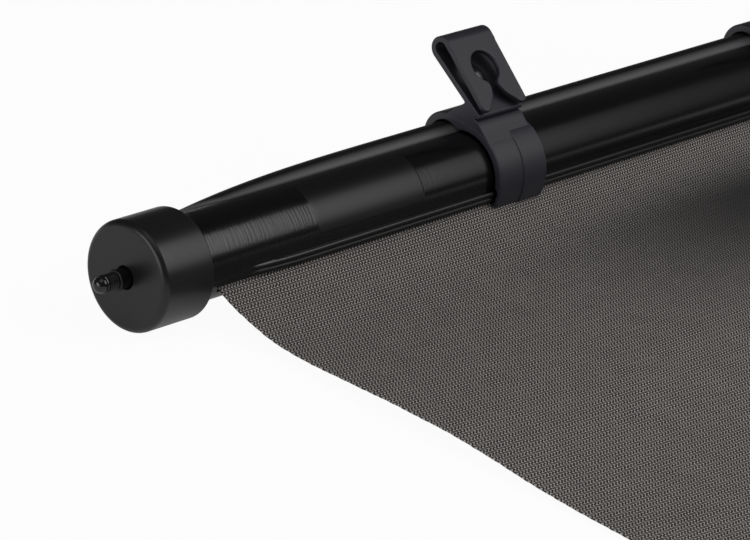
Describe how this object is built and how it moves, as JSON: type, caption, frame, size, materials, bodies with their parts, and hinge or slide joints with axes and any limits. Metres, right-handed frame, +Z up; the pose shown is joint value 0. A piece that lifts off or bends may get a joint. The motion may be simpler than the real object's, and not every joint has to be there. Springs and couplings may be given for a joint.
{
  "type": "roller window sunshade",
  "caption": "Roller sunshade for a car's side window: a sprung tube with a push-button release, mesh cloth, pull bar and clip-on window hooks.",
  "frame": {"origin": "middle of the footprint, on the table", "axes": "+X along the tube from the release button to the plain cap, +Y from the pull bar back to the tube, +Z up"},
  "size_m": [0.369, 0.4168, 0.0444],
  "materials": {
    "gloss_black": "polished extrusion",
    "satin_black": "satin moulded",
    "clip_grey": "satin moulded",
    "inner_black": "moulded",
    "steel": "drawn wire",
    "aluminium": "mill",
    "mesh_cloth": "knitted mesh"
  },
  "bodies": {
    "housing": {"housing_tube": "gloss_black", "left_end_cap": "satin_black", "right_end_cap": "satin_black", "left_bearing_cup": "inner_black", "button_spring": "steel", "spring_arbor": "steel", "arbor_spacer": "inner_black", "arbor_collar": "inner_black", "shade_cloth": "mesh_cloth"},
    "release_button": {"button_stem": "satin_black", "button_tip": "gloss_black", "brake_cone": "steel"},
    "roller": {"brake_ring": "inner_black", "left_roller_plug": "inner_black", "right_roller_plug": "inner_black", "roller_tube": "aluminium", "wound_cloth": "mesh_cloth", "roller_spring": "steel", "spring_anchor": "inner_black"},
    "pull_bar": {"pull_bar": "gloss_black", "hem_rod": "aluminium", "left_bar_cap": "satin_black", "right_bar_cap": "satin_black", "pull_tab": "satin_black"},
    "left_clip": {"left_hanger_clip": "clip_grey"},
    "right_clip": {"right_hanger_clip": "clip_grey"}
  },
  "joints": [
    {"name": "button_press", "type": "slide", "parent": "housing", "child": "release_button", "axis": [1, 0, 0], "range_m": [0, 0.003], "stiffness_N_per_m": 350, "deforming": ["button_spring"]},
    {"name": "roller_spin", "type": "hinge", "parent": "housing", "child": "roller", "pos_m": [0, 0.1936, 0.013], "axis": [1, 0, 0], "range_deg": [0, 2820]},
    {"name": "bar_pull", "type": "slide", "parent": "housing", "child": "pull_bar", "axis": [0, 1, 0], "range_m": [0, 0.357], "deforming": ["shade_cloth"]},
    {"name": "left_clip_slide", "type": "slide", "parent": "housing", "child": "left_clip", "axis": [1, 0, 0], "range_m": [-0.09, 0.05]},
    {"name": "right_clip_slide", "type": "slide", "parent": "housing", "child": "right_clip", "axis": [1, 0, 0], "range_m": [-0.05, 0.09]}
  ],
  "couplings": [
    {"joint": "roller_spin", "follows": "bar_pull", "rad_per_m": 137}
  ]
}
